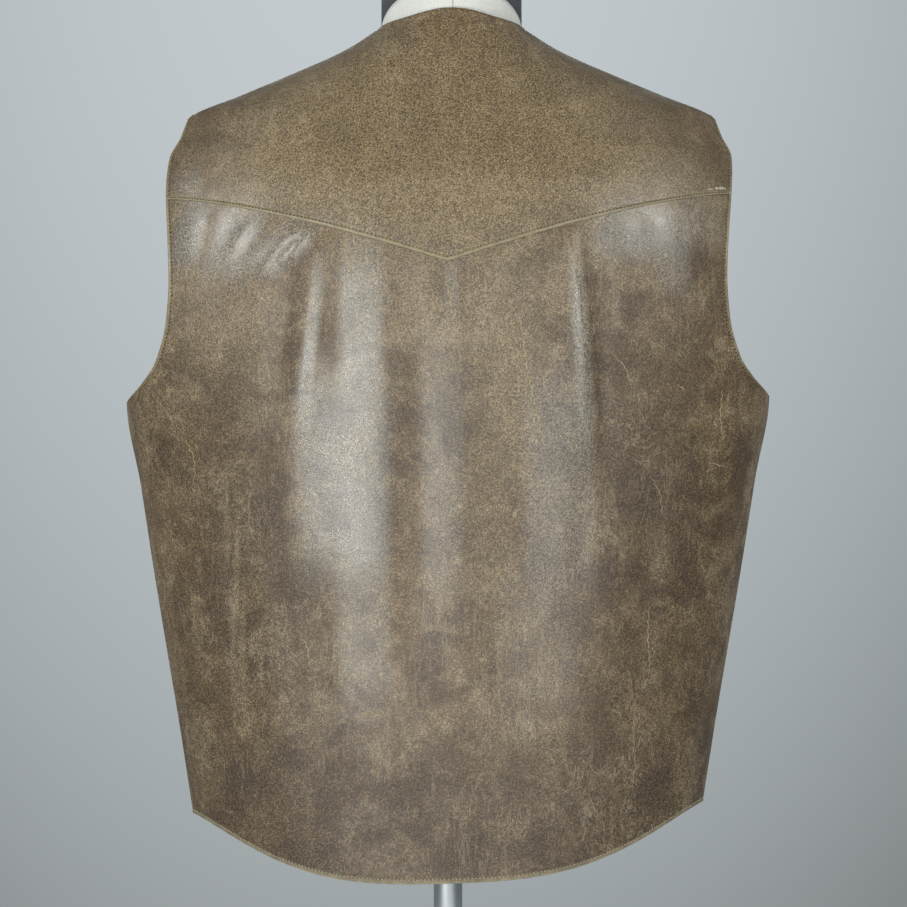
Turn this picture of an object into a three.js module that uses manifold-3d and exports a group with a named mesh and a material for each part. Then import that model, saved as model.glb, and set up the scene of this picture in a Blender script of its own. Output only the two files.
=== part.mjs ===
// A leather vest with a pointed back yoke, snapped shut on a limbless dress form with a round base.
// Millimetres, +Z up. The wearer's left is +X and the wearer's front is -Y.
// The origin is the centre of the base's underside.
// A level is a height above the lowest point of the back hem, measured in the side seam plane y = 0.

import * as THREE from "three";
import { mergeVertices } from "three/addons/utils/BufferGeometryUtils.js";
import Module from "manifold-3d";

const wasm = await Module();
wasm.setup();

// The hide and how its pieces meet
const hideThickness = 1.6;
const seamGap = 0.3;
const lapLift = hideThickness + seamGap;
const yokeLap = 12;

// The vest's cut
const hemHeight = 202;
const hemSideLevel = 45.5;
const underarmLevel = 360;
const yokePointLevel = 459.7;
const yokeEndLevel = 514.5;
const shoulderTipLevel = 574.5;
const neckSideLevel = 642.3;
const neckHalfWidth = 56;
const shoulderHalfWidth = 200;
const frontOverlap = 15;
const frontPointLevel = 8;
const frontHemSag = 5;

// Four snaps on the centre front
const snapRadius = 7.5;
const snapHeight = 3;
const lowestSnapLevel = 62;
const highestSnapLevel = 352;
const snapCount = 4;

// The dress form and its stand
const capHeight = 32;
const socketDepth = 60;
const poleRadius = 11;
const poleClearance = 0.3;
const baseRadius = 175;
const baseRimHeight = 9;
const baseCrownHeight = 16;
const hubRadius = 21;
const hubHeight = 44;
const hubFloor = 12;

// Level sections of the closed vest before its folds.
// halfWidth runs from the centre to the side seam, to the armhole's plane, or to the shoulder ridge.
// back and front are depths from y = 0; rise and drop say how far those two climb and sink.
// corner shapes the turn at the sides: 0.5 is an ellipse's, 1 a sharp one.
// tilt is how much lower the wearer's left hangs, in mm for each mm out; shift moves a section along +X.
const sections = [
  { level: -20, halfWidth: 183.4, back: 122, front: 129, rise: 0, drop: 0, corner: 0.7, tilt: 0.034, shift: 0 },
  { level: 45.5, halfWidth: 194.4, back: 121, front: 128, rise: 0, drop: 0, corner: 0.7, tilt: 0.023, shift: 0 },
  { level: 112, halfWidth: 204.8, back: 118, front: 128, rise: 0, drop: 0, corner: 0.69, tilt: 0.02, shift: 0 },
  { level: 174, halfWidth: 215.2, back: 117, front: 129, rise: 0, drop: 0, corner: 0.67, tilt: 0.017, shift: 0 },
  { level: 236, halfWidth: 225.4, back: 119, front: 132, rise: 0, drop: 0, corner: 0.65, tilt: 0.014, shift: 0 },
  { level: 297, halfWidth: 234.8, back: 123, front: 137, rise: 0, drop: 0, corner: 0.63, tilt: 0.011, shift: 0 },
  { level: 360, halfWidth: 245.4, back: 128, front: 140, rise: 0, drop: 0, corner: 0.61, tilt: 0.01, shift: 0 },
  { level: 400, halfWidth: 244.4, back: 131, front: 139, rise: 0, drop: 0, corner: 0.6, tilt: 0.01, shift: 0 },
  { level: 449, halfWidth: 238.4, back: 132, front: 133, rise: 0, drop: 0, corner: 0.6, tilt: 0.011, shift: 0 },
  { level: 514.5, halfWidth: 227.4, back: 124, front: 115, rise: 0, drop: 0, corner: 0.6, tilt: 0.01, shift: -0.6 },
  { level: 541.7, halfWidth: 218.8, back: 113.5, front: 104, rise: 0, drop: 3, corner: 0.6, tilt: 0.006, shift: -1.8 },
  { level: 558, halfWidth: 210, back: 105, front: 97.5, rise: 0, drop: 7, corner: 0.6, tilt: 0.003, shift: -2.4 },
  { level: 574.5, halfWidth: 200, back: 96, front: 91, rise: 1, drop: 13, corner: 0.6, tilt: 0, shift: -2.7 },
  { level: 589.9, halfWidth: 164.5, back: 88, front: 83, rise: 2.5, drop: 20, corner: 0.6, tilt: 0, shift: -2.7 },
  { level: 605.3, halfWidth: 126, back: 80.5, front: 74, rise: 4.5, drop: 27, corner: 0.6, tilt: 0, shift: -2.7 },
  { level: 620.7, halfWidth: 89.5, back: 73.5, front: 63, rise: 7, drop: 33, corner: 0.6, tilt: 0, shift: -2.7 },
  { level: 636, halfWidth: 62.5, back: 66, front: 52, rise: 10, drop: 36, corner: 0.6, tilt: 0, shift: -2.7 },
  { level: 642.3, halfWidth: 56, back: 62, front: 48, rise: 11, drop: 36, corner: 0.58, tilt: 0, shift: -2.7 },
  { level: 655, halfWidth: 50, back: 58, front: 44, rise: 12, drop: 36, corner: 0.55, tilt: 0, shift: -2.7 },
];
const squareness = 2.4;

// Armhole edges: halfWidth at each level, seen from behind and from the front
const backArmhole = [
  { level: 360, halfWidth: 245.4 },
  { level: 374, halfWidth: 231 },
  { level: 389, halfWidth: 220.5 },
  { level: 419, halfWidth: 212 },
  { level: 449, halfWidth: 210 },
  { level: 479, halfWidth: 211.3 },
  { level: 526, halfWidth: 214.3 },
  { level: 542, halfWidth: 213.2 },
  { level: 558, halfWidth: 205.4 },
  { level: 574.5, halfWidth: 200 },
];
const frontArmhole = [
  { level: 360, halfWidth: 245.4 },
  { level: 372, halfWidth: 227 },
  { level: 386, halfWidth: 212 },
  { level: 405, halfWidth: 202 },
  { level: 450, halfWidth: 194 },
  { level: 490, halfWidth: 192.5 },
  { level: 530, halfWidth: 194.5 },
  { level: 574.5, halfWidth: 200 },
];

// Inner edge of a front, from its rounded lower corner up the V to the neck; negative laps past centre
const frontEdge = [
  { level: 8, halfWidth: 12 },
  { level: 13, halfWidth: -3 },
  { level: 21, halfWidth: -11 },
  { level: 36, halfWidth: -15 },
  { level: 368, halfWidth: -15 },
  { level: 400, halfWidth: -6 },
  { level: 440, halfWidth: 10 },
  { level: 480, halfWidth: 24 },
  { level: 520, halfWidth: 36 },
  { level: 560, halfWidth: 46 },
  { level: 600, halfWidth: 52 },
  { level: 642.3, halfWidth: 56 },
];

// Largest folds of the hanging hide. A fold's line runs from its top to its bottom;
// width is how far it reaches to each side, and lift is how far it stands out or, negative, sinks.
const folds = [
  { side: "back", topX: 101, topLevel: 505, bottomX: 116, bottomLevel: 330, width: 9, lift: 4.5 },
  { side: "back", topX: 116, topLevel: 500, bottomX: 134, bottomLevel: 320, width: 11, lift: -4.5 },
  { side: "back", topX: -94, topLevel: 505, bottomX: -105, bottomLevel: 330, width: 8, lift: 4 },
  { side: "back", topX: -107, topLevel: 500, bottomX: -117, bottomLevel: 325, width: 10, lift: -4 },
  { side: "back", topX: 80, topLevel: 420, bottomX: 66, bottomLevel: 60, width: 24, lift: 3 },
  { side: "back", topX: 40, topLevel: 440, bottomX: 36, bottomLevel: 120, width: 13, lift: -2.5 },
  { side: "back", topX: 8, topLevel: 430, bottomX: 4, bottomLevel: 130, width: 17, lift: 2.5 },
  { side: "back", topX: -112, topLevel: 400, bottomX: -96, bottomLevel: 150, width: 15, lift: -2.5 },
  { side: "front", topX: 128, topLevel: 470, bottomX: 96, bottomLevel: 90, width: 22, lift: 5 },
  { side: "front", topX: -124, topLevel: 480, bottomX: -100, bottomLevel: 110, width: 20, lift: 4.5 },
  { side: "front", topX: 168, topLevel: 380, bottomX: 140, bottomLevel: 70, width: 18, lift: -3.5 },
  { side: "front", topX: -166, topLevel: 370, bottomX: -142, bottomLevel: 60, width: 18, lift: -3.5 },
];
const foldFade = 45;

// Rings of the dress form, from its flat bottom to the slanted top of its neck
const formRings = [
  { level: 76, halfWidth: 156, back: 95, front: 99, rise: 0, drop: 0, square: 2.3, corner: 0.52 },
  { level: 80, halfWidth: 160, back: 98, front: 102, rise: 0, drop: 0, square: 2.3, corner: 0.52 },
  { level: 110, halfWidth: 161, back: 98, front: 103, rise: 0, drop: 0, square: 2.3, corner: 0.52 },
  { level: 160, halfWidth: 162, back: 97, front: 103, rise: 0, drop: 0, square: 2.3, corner: 0.52 },
  { level: 215, halfWidth: 171, back: 100, front: 109, rise: 0, drop: 0, square: 2.3, corner: 0.52 },
  { level: 275, halfWidth: 185, back: 107, front: 118, rise: 0, drop: 0, square: 2.3, corner: 0.53 },
  { level: 340, halfWidth: 195, back: 114, front: 127, rise: 0, drop: 0, square: 2.35, corner: 0.55 },
  { level: 400, halfWidth: 196, back: 119, front: 128, rise: 0, drop: 0, square: 2.4, corner: 0.57 },
  { level: 449, halfWidth: 196, back: 121, front: 123, rise: 0, drop: 0, square: 2.4, corner: 0.58 },
  { level: 490, halfWidth: 196, back: 119.5, front: 114, rise: 0, drop: 0, square: 2.4, corner: 0.6 },
  { level: 514.5, halfWidth: 196, back: 117, front: 108, rise: 0, drop: 0, square: 2.4, corner: 0.6 },
  { level: 541.7, halfWidth: 196, back: 110, front: 99.5, rise: 0, drop: 3, square: 2.4, corner: 0.6 },
  { level: 558, halfWidth: 196, back: 103, front: 94, rise: 0, drop: 7, square: 2.4, corner: 0.6 },
  { level: 574.5, halfWidth: 193.5, back: 94.4, front: 89, rise: 1, drop: 13, square: 2.4, corner: 0.63 },
  { level: 582, halfWidth: 181.6, back: 90.4, front: 85.4, rise: 1.7, drop: 16.4, square: 2.4, corner: 0.63 },
  { level: 589.9, halfWidth: 162.8, back: 86.6, front: 81.4, rise: 2.5, drop: 20, square: 2.4, corner: 0.63 },
  { level: 597.6, halfWidth: 143.6, back: 82.7, front: 77, rise: 3.4, drop: 23.5, square: 2.4, corner: 0.63 },
  { level: 605.3, halfWidth: 124.3, back: 79, front: 72.3, rise: 4.5, drop: 27, square: 2.4, corner: 0.63 },
  { level: 613, halfWidth: 105.2, back: 75.5, front: 67, rise: 5.7, drop: 30, square: 2.4, corner: 0.63 },
  { level: 620.7, halfWidth: 87.4, back: 71.8, front: 61, rise: 7, drop: 33, square: 2.4, corner: 0.63 },
  { level: 629, halfWidth: 70, back: 66.8, front: 54, rise: 8.6, drop: 35, square: 2.3, corner: 0.58 },
  { level: 634.5, halfWidth: 58.5, back: 61.5, front: 49, rise: 12, drop: 35, square: 2.1, corner: 0.54 },
  { level: 638.5, halfWidth: 54.4, back: 58.6, front: 46.6, rise: 22, drop: 33.5, square: 2, corner: 0.5 },
  { level: 642, halfWidth: 54, back: 58, front: 46, rise: 32, drop: 31, square: 2, corner: 0.5 },
];

// Neck cap: rings above the neck's slanted top, and the share of the neck's outline each one has
const capRings = [
  { above: 0.3, share: 1 },
  { above: 26, share: 1 },
  { above: 30, share: 0.96 },
  { above: capHeight, share: 0.88 },
];

// Grid counts
const backColumns = 58;
const lowerBackRows = 10;
const upperBackRows = 6;
const yokeRows = 8;
const frontColumns = 18;
const lowerFrontRows = 10;
const upperFrontRows = 13;
const ringSegments = 36;
const latheSegments = 40;
const snapSegments = 14;

const mix = THREE.MathUtils.lerp;
const smooth = THREE.MathUtils.smoothstep;

// Reads one column of a table at a level, along a smooth curve that doesn't overshoot its rows.
function read(table, column, level) {
  const last = table.length - 1;
  if (level <= table[0].level) return table[0][column];
  if (level >= table[last].level) return table[last][column];
  let i = 0;
  while (table[i + 1].level < level) i += 1;
  const run = (k) => table[k + 1].level - table[k].level;
  const slope = (k) => (table[k + 1][column] - table[k][column]) / run(k);
  const tangent = (k) => {
    if (k === 0) return slope(0);
    if (k === last) return slope(last - 1);
    const product = slope(k - 1) * slope(k);
    return product > 0 ? (2 * product) / (slope(k - 1) + slope(k)) : 0;
  };
  const t = (level - table[i].level) / run(i);
  const blend = t * t * (3 - 2 * t);
  const ease = run(i) * t * (1 - t);
  const bend = (1 - t) * tangent(i) - t * tangent(i + 1);
  return mix(table[i][column], table[i + 1][column], blend) + ease * bend;
}

// The level at which the shoulder ridge is this far from the centre.
function ridgeLevel(x) {
  let low = shoulderTipLevel;
  let high = neckSideLevel;
  for (let step = 0; step < 30; step += 1) {
    const middle = (low + high) / 2;
    if (read(sections, "halfWidth", middle) > x) low = middle;
    else high = middle;
  }
  return (low + high) / 2;
}

// How far the folds move the hide out at a place.
function foldLift(side, x, level) {
  return folds.reduce((sum, fold) => {
    if (fold.side !== side) return sum;
    const down = (fold.topLevel - level) / (fold.topLevel - fold.bottomLevel);
    const across = (x - mix(fold.topX, fold.bottomX, down)) / fold.width;
    const belowTop = smooth(fold.topLevel - level, 0, foldFade);
    const aboveBottom = smooth(level - fold.bottomLevel, 0, foldFade * 2);
    return sum + fold.lift * Math.exp(-across * across) * belowTop * aboveBottom;
  }, 0);
}

// A point on the inner face of the hide, in the vest's own shape.
function onVest(side, x, level) {
  const halfWidth = read(sections, "halfWidth", level);
  const room = Math.max(0, 1 - (Math.abs(x) / halfWidth) ** squareness);
  const fullness = room ** read(sections, "corner", level);
  const depth = read(sections, side, level) * fullness + foldLift(side, x, level) * Math.sqrt(room);
  const behind = side === "back";
  const climb = behind ? read(sections, "rise", level) : -read(sections, "drop", level);
  const out = Math.max(depth, seamGap / 2);
  const height = hemHeight + level + climb * fullness - x * read(sections, "tilt", level);
  return new THREE.Vector3(x + read(sections, "shift", level), behind ? out : -out, height);
}

// Outward directions of a grid of points, whose rows go up and whose columns go towards +X.
function outwardAt(points, row, column, side) {
  const rows = points.length - 1;
  const columns = points[0].length - 1;
  const left = points[row][Math.max(column - 1, 0)];
  const right = points[row][Math.min(column + 1, columns)];
  const below = points[Math.max(row - 1, 0)][column];
  const above = points[Math.min(row + 1, rows)][column];
  const across = right.clone().sub(left);
  const up = above.clone().sub(below);
  const outward = side === "back" ? up.cross(across) : across.cross(up);
  if (Math.abs(points[row][column].y) <= seamGap) outward.y = 0;
  return outward.normalize();
}

// A closed wall of hide over a grid of inner points, each lifted off the torso by its own amount.
function hideWall(points, lifts, side) {
  const rows = points.length;
  const columns = points[0].length;
  const positions = [];
  for (const offset of [0, hideThickness]) {
    for (let row = 0; row < rows; row += 1) {
      for (let column = 0; column < columns; column += 1) {
        const outward = outwardAt(points, row, column, side);
        const away = lifts[row][column] + offset;
        positions.push(...points[row][column].clone().addScaledVector(outward, away));
      }
    }
  }
  const inner = (row, column) => row * columns + column;
  const outer = (row, column) => rows * columns + inner(row, column);
  const faces = [];
  const quad = (a, b, c, d) => {
    if (side === "back") faces.push(a, c, b, a, d, c);
    else faces.push(a, b, c, a, c, d);
  };
  for (let row = 0; row < rows - 1; row += 1) {
    for (let column = 0; column < columns - 1; column += 1) {
      quad(outer(row, column), outer(row, column + 1), outer(row + 1, column + 1), outer(row + 1, column));
      quad(inner(row, column), inner(row + 1, column), inner(row + 1, column + 1), inner(row, column + 1));
    }
    quad(inner(row, 0), outer(row, 0), outer(row + 1, 0), inner(row + 1, 0));
    const end = columns - 1;
    quad(outer(row, end), inner(row, end), inner(row + 1, end), outer(row + 1, end));
  }
  for (let column = 0; column < columns - 1; column += 1) {
    const top = rows - 1;
    quad(inner(0, column), inner(0, column + 1), outer(0, column + 1), outer(0, column));
    quad(outer(top, column), outer(top, column + 1), inner(top, column + 1), inner(top, column));
  }
  return closedGeometry(positions, faces);
}

function closedGeometry(positions, faces) {
  const geometry = new THREE.BufferGeometry();
  geometry.setAttribute("position", new THREE.Float32BufferAttribute(positions, 3));
  geometry.setIndex(faces);
  return geometry;
}

// Places from -1 to 1 across the back, a little closer together towards the sides.
function acrossBack() {
  return Array.from({ length: backColumns + 1 }, (_, i) => {
    const even = (2 * i) / backColumns - 1;
    return mix(even, Math.sin((even * Math.PI) / 2), 0.5);
  });
}

// Shapes of the back's rows from the centre, 1, to the edge, 0: the rounded hem and the yoke's point
const hemShape = (across) => (1 - Math.abs(across) ** 3.1) ** 1.5;
const yokeShape = (across) => (1 - Math.abs(across)) ** 1.4;

function backEdge(level) {
  if (level <= underarmLevel) return read(sections, "halfWidth", level);
  return read(backArmhole, "halfWidth", level);
}

function frontOuterEdge(level) {
  if (level <= underarmLevel) return read(sections, "halfWidth", level);
  return read(frontArmhole, "halfWidth", level);
}

// Level of the yoke's lower edge at a place across the back.
const yokeSeamLevel = (across) => mix(yokeEndLevel, yokePointLevel, yokeShape(across));

function backBody() {
  const rows = [];
  const underarmCentre = underarmLevel - 50;
  for (let i = 0; i <= lowerBackRows; i += 1) {
    const up = i / lowerBackRows;
    rows.push({ edge: mix(hemSideLevel, underarmLevel, up), centre: underarmCentre * up });
  }
  for (let i = 1; i <= upperBackRows; i += 1) {
    const up = i / upperBackRows;
    const edge = mix(underarmLevel, yokeEndLevel, up ** 1.6);
    rows.push({ edge, centre: mix(underarmCentre, yokePointLevel, up) });
  }
  rows.push({ edge: yokeEndLevel + yokeLap, centre: yokePointLevel + yokeLap });
  const points = rows.map(({ edge, centre }) =>
    acrossBack().map((across) => {
      const progress = Math.min(1, centre / yokePointLevel);
      const shape = mix(hemShape(across), yokeShape(across), progress);
      return onVest("back", across * backEdge(edge), mix(edge, centre, shape));
    }),
  );
  const lifts = points.map((row) => row.map(() => 0));
  return hideWall(points, lifts, "back");
}

// The yoke lies on the body along its lap, then comes down to the body's own face.
function backYoke() {
  const points = [];
  const lifts = [];
  const addRow = (edge, levelAt, lift) => {
    points.push(acrossBack().map((across) => onVest("back", across * backEdge(edge), levelAt(across))));
    lifts.push(acrossBack().map(() => lift));
  };
  addRow(yokeEndLevel, yokeSeamLevel, lapLift);
  for (let i = 0; i <= yokeRows; i += 1) {
    const up = i / yokeRows;
    const share = 1 - (1 - up) ** 1.8;
    const topLevelAt = (across) => {
      const x = Math.abs(across) * shoulderHalfWidth;
      return x < neckHalfWidth ? neckSideLevel : ridgeLevel(x);
    };
    const levelAt = (across) => mix(yokeSeamLevel(across) + yokeLap, topLevelAt(across), share);
    addRow(mix(yokeEndLevel + yokeLap, shoulderTipLevel, share), levelAt, lapLift * (1 - smooth(up, 0, 1)));
  }
  return hideWall(points, lifts, "back");
}

// A front, from its hem to the shoulder seam. turn is 1 on the wearer's left and -1 on the right.
function front(turn, laps) {
  const rows = [];
  const chestLevel = underarmLevel - 10;
  for (let i = 0; i <= lowerFrontRows; i += 1) {
    const up = i / lowerFrontRows;
    rows.push({
      inner: mix(frontPointLevel, chestLevel, up ** 1.4),
      outer: mix(hemSideLevel, underarmLevel, up),
      seam: 0,
      sag: frontHemSag * (1 - up),
    });
  }
  for (let i = 1; i <= upperFrontRows; i += 1) {
    const up = i / upperFrontRows;
    const share = smooth(up, 0, 1);
    rows.push({
      inner: mix(chestLevel, neckSideLevel, share),
      outer: mix(underarmLevel, shoulderTipLevel, share),
      seam: up ** 4,
      sag: 0,
    });
  }
  const points = [];
  const lifts = [];
  for (const { inner, outer, seam, sag } of rows) {
    const row = Array.from({ length: frontColumns + 1 }, (_, i) => {
      const even = i / frontColumns;
      const share = mix(even, Math.sin((even * Math.PI) / 2), 0.6);
      const x = mix(read(frontEdge, "halfWidth", inner), frontOuterEdge(outer), share);
      const chord = mix(neckSideLevel, shoulderTipLevel, share);
      const bow = seam > 0 ? (ridgeLevel(mix(neckHalfWidth, shoulderHalfWidth, share)) - chord) * seam : 0;
      const level = mix(inner, outer, share) + bow - sag * Math.sin(share * Math.PI);
      return { point: onVest("front", turn * x, level), x, level };
    });
    const liftAt = ({ x, level }) => {
      const nearCentre = 1 - smooth(x, frontOverlap + 3, 80);
      return laps ? lapLift * nearCentre * (1 - smooth(level, 430, 520)) : 0;
    };
    if (turn < 0) row.reverse();
    points.push(row.map(({ point }) => point));
    lifts.push(row.map(liftAt));
  }
  return hideWall(points, lifts, "front");
}

// A closed solid through rings, each an outline of two halves that meet at y = 0.
function loft(rings) {
  const positions = [];
  for (const ring of rings) {
    for (let i = 0; i < ringSegments; i += 1) {
      const angle = (2 * Math.PI * i) / ringSegments;
      const behind = Math.cos(angle) >= 0;
      const fullness = Math.max(0, 1 - Math.abs(Math.sin(angle)) ** ring.square) ** ring.corner;
      const y = behind ? ring.back * fullness : -ring.front * fullness;
      const climb = behind ? ring.rise * fullness : -ring.drop * fullness;
      const x = read(sections, "shift", ring.level) - ring.halfWidth * Math.sin(angle);
      positions.push(x, y, hemHeight + ring.level + climb);
    }
  }
  const last = rings.length - 1;
  const bottomCentre = positions.length / 3;
  const topCentre = bottomCentre + 1;
  positions.push(0, 0, hemHeight + rings[0].level);
  positions.push(0, 0, hemHeight + rings[last].level);
  const faces = [];
  for (let i = 0; i < ringSegments; i += 1) {
    const next = (i + 1) % ringSegments;
    for (let k = 0; k < last; k += 1) {
      const [a, b] = [k * ringSegments + i, k * ringSegments + next];
      faces.push(a, b, b + ringSegments, a, b + ringSegments, a + ringSegments);
    }
    faces.push(bottomCentre, next, i);
    faces.push(topCentre, last * ringSegments + i, last * ringSegments + next);
  }
  return closedGeometry(positions, faces);
}

// A solid turned about +Z from its profile of radius and height, which starts and ends on the axis.
function turned(profile, segments) {
  const points = profile.map(([radius, height]) => new THREE.Vector2(radius, height));
  return new THREE.LatheGeometry(points, segments).rotateX(Math.PI / 2);
}

function toManifold(geometry) {
  const bare = geometry.clone();
  bare.deleteAttribute("normal");
  bare.deleteAttribute("uv");
  const merged = mergeVertices(bare, 1e-4);
  const vertProperties = merged.attributes.position.array;
  const triVerts = new Uint32Array(merged.index.array);
  return new wasm.Manifold(new wasm.Mesh({ numProp: 3, vertProperties, triVerts }));
}

function fromManifold(solid) {
  const { vertProperties, triVerts } = solid.getMesh();
  return closedGeometry(Array.from(vertProperties), Array.from(triVerts));
}

// Torso and neck, with the socket that the pole goes up into
function formTorso() {
  const bottom = hemHeight + formRings[0].level;
  const radius = poleRadius + poleClearance;
  const bore = turned([[0, 0], [radius, 0], [radius, socketDepth + 1], [0, socketDepth + 1]], latheSegments);
  bore.translate(0, 0, bottom - 1);
  return fromManifold(toManifold(loft(formRings)).subtract(toManifold(bore)));
}

function formNeckCap() {
  const neck = formRings[formRings.length - 1];
  return loft(
    capRings.map(({ above, share }) => ({
      ...neck,
      level: neck.level + above,
      halfWidth: neck.halfWidth * share,
      back: neck.back * share,
      front: neck.front * share,
      rise: neck.rise * share,
      drop: neck.drop * share,
    })),
  );
}

function formPole() {
  const bottom = hubFloor + poleClearance;
  const top = hemHeight + formRings[0].level + socketDepth - poleClearance;
  return turned([[0, bottom], [poleRadius, bottom], [poleRadius, top], [0, top]], latheSegments);
}

// A weighted disc with a low crown and a hub that holds the pole
function formBase() {
  const bore = poleRadius + poleClearance;
  const profile = [
    [0, 0],
    [baseRadius - 1, 0],
    [baseRadius, 1],
    [baseRadius, baseRimHeight - 3],
    [baseRadius - 1, baseRimHeight - 1],
    [baseRadius - 4, baseRimHeight],
    [baseRadius * 0.6, mix(baseRimHeight, baseCrownHeight, 0.7)],
    [hubRadius + 14, baseCrownHeight],
    [hubRadius + 4, baseCrownHeight + 3],
    [hubRadius, baseCrownHeight + 9],
    [hubRadius, hubHeight - 2],
    [hubRadius - 2, hubHeight],
    [bore, hubHeight],
    [bore, hubFloor],
    [0, hubFloor],
  ];
  return turned(profile, latheSegments);
}

function snapCap() {
  const profile = [
    [0, 0],
    [snapRadius, 0],
    [snapRadius, snapHeight * 0.35],
    [snapRadius * 0.86, snapHeight * 0.7],
    [snapRadius * 0.5, snapHeight * 0.93],
    [0, snapHeight],
  ];
  return turned(profile, snapSegments);
}

const hide = { color: 0x77664e, roughness: 0.5, metalness: 0 };
const cloth = { color: 0xe8e8e0, roughness: 0.9, metalness: 0 };
const darkCap = { color: 0x3c3f44, roughness: 0.5, metalness: 0 };
const steel = { color: 0xb4b8bc, roughness: 0.35, metalness: 1 };
const brass = { color: 0x8a7444, roughness: 0.4, metalness: 1 };

function piece(name, geometry, finish) {
  const mesh = new THREE.Mesh(geometry, new THREE.MeshStandardMaterial(finish));
  mesh.name = name;
  return mesh;
}

const garment = new THREE.Group();
garment.add(
  piece("back_body", backBody(), hide),
  piece("back_yoke", backYoke(), hide),
  piece("front_left", front(1, true), hide),
  piece("front_right", front(-1, false), hide),
);

for (let i = 0; i < snapCount; i += 1) {
  const level = mix(lowestSnapLevel, highestSnapLevel, i / (snapCount - 1));
  const snap = piece(`snap_${i + 1}`, snapCap(), brass);
  const seat = onVest("front", 0, level);
  const lean = onVest("front", 0, level + 10).sub(onVest("front", 0, level - 10));
  const outward = new THREE.Vector3(1, 0, 0).cross(lean).normalize();
  snap.position.copy(seat).addScaledVector(outward, lapLift + hideThickness + seamGap);
  snap.quaternion.setFromUnitVectors(new THREE.Vector3(0, 0, 1), outward);
  garment.add(snap);
}

const stand = new THREE.Group();
stand.add(
  piece("form_torso", formTorso(), cloth),
  piece("form_neck_cap", formNeckCap(), darkCap),
  piece("form_pole", formPole(), steel),
  piece("form_base", formBase(), steel),
);

const vestOnForm = new THREE.Group();
vestOnForm.add(garment, stand);

export default vestOnForm;
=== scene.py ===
# The looks of a leather vest with a pointed back yoke, snapped shut on a limbless dress form.
# Shapes are worked out in millimetres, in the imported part's frame, and become metres as meshes are made.
# The wearer's left is +X and the wearer's front is -Y; a level is a height above the lowest back hem.

import math

import bpy
import numpy as np
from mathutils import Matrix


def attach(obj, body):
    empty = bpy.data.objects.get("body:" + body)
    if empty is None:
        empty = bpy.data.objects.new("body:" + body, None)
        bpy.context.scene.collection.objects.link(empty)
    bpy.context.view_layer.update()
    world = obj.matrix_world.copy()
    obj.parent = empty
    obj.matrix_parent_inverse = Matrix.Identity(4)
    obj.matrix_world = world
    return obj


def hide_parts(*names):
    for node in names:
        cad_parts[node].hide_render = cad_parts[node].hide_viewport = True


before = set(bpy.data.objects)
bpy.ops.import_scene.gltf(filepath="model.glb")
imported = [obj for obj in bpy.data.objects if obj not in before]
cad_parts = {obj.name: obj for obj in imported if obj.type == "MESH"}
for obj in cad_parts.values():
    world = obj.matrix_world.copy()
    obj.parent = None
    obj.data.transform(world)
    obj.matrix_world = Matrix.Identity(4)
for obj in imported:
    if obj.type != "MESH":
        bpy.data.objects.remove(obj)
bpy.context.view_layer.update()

METRE = 0.001

# The hide and how its pieces meet
HIDE_THICKNESS = 1.6
SEAM_GAP = 0.3
LAP_LIFT = HIDE_THICKNESS + SEAM_GAP
YOKE_LAP = 12
STITCH_INSET = 3.1
STITCH_PITCH = 2.9

# The vest's cut
HEM_HEIGHT = 202
HEM_SIDE = 45.5
UNDERARM = 360
YOKE_POINT = 459.2
YOKE_END = 512
SHOULDER_TIP = 574.5
NECK_SIDE = 637.5
NECK_HALF = 56
NECK_SCOOP = 2.8
SCOOP_PEAK = 27 / 4
SHOULDER_HALF = 200
FRONT_OVERLAP = 15
FRONT_POINT = 8
FRONT_SAG = 5
SQUARENESS = 2.4
HEM_FLATNESS = 3.1
HEM_TURN = 1.5
YOKE_BEND = 1.3

# How the lapped pieces come down to their neighbours, and the share of a front below its chest
YOKE_LIFT_FADE = 90
FRONT_LIFT_WIDTH = 80
FRONT_LIFT_LEVELS = (430, 520)
FRONT_CHEST = 0.55

# Each panel's rough height, and the rows and columns of its grid between the edges' steps
BODY_GRID = (470, 170, 190)
YOKE_GRID = (175, 70, 190)
FRONT_GRID = (600, 215, 96)

SNAP_RADIUS = 7.5
SNAP_HEIGHT = 3
SNAP_SIDES = 40
# A snap cap's outline: shares of its radius, and heights
SNAP_OUTLINE = [
    (0.9, 0), (0.98, 0.25), (1, 0.7), (0.97, 1.15), (0.9, 1.4), (0.83, 1.3), (0.8, 1.25), (0.76, 1.5),
    (0.62, SNAP_HEIGHT * 0.76), (0.42, SNAP_HEIGHT * 0.91), (0.2, SNAP_HEIGHT * 0.985), (0.05, SNAP_HEIGHT),
]
SNAP_LEVELS = np.linspace(62, 352, 4)

# The dress form and its stand
FORM_BOTTOM = 76
FORM_SHOULDER = 560
FORM_TOP = 642
FORM_EDGE = (0, 0.4, 1.2, 2.5, 4)
FORM_SIDES = 160
CAP_SIDES = 96
SOCKET_DEPTH = 60
POLE_RADIUS = 11
BASE_RADIUS = 175
BASE_RIM = 9
BASE_CROWN = 16
BASE_DOME = ((0.8, 0.4), (0.6, 0.7), (0.4, 0.9))
HUB_RADIUS = 21
HUB_HEIGHT = 44
HUB_FLOOR = 12
HUB_FILLET = (5, 8)
CLEARANCE = 0.3
STAND_SIDES = 160
POLE_SIDES = 64

# The camera behind the vest
PIXEL = 0.77
PHOTO_SIDE = 907
CENTRE_COLUMN = 448
CAMERA_DISTANCE = 3000
CAMERA_HEIGHT = 519.7
SENSOR = 36

# The hide's colours, in 8-bit screen values; dark is painted shade, the pale grey of the glossier spots is
# a painted highlight, and rim is partly worn edge and partly a painted highlight
HIDE_COLOURS = {
    "deep": (90, 65, 34), "middle": (142, 116, 80), "blotch": (128, 101, 67), "tan": (186, 165, 130),
    "dark": (72, 51, 32), "light": (179, 157, 121), "gloss_and_painted_highlight": (174, 172, 164),
    "dust": (174, 155, 116), "mark": (190, 174, 144), "rim": (192, 181, 146), "joint": (56, 44, 30),
}

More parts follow.
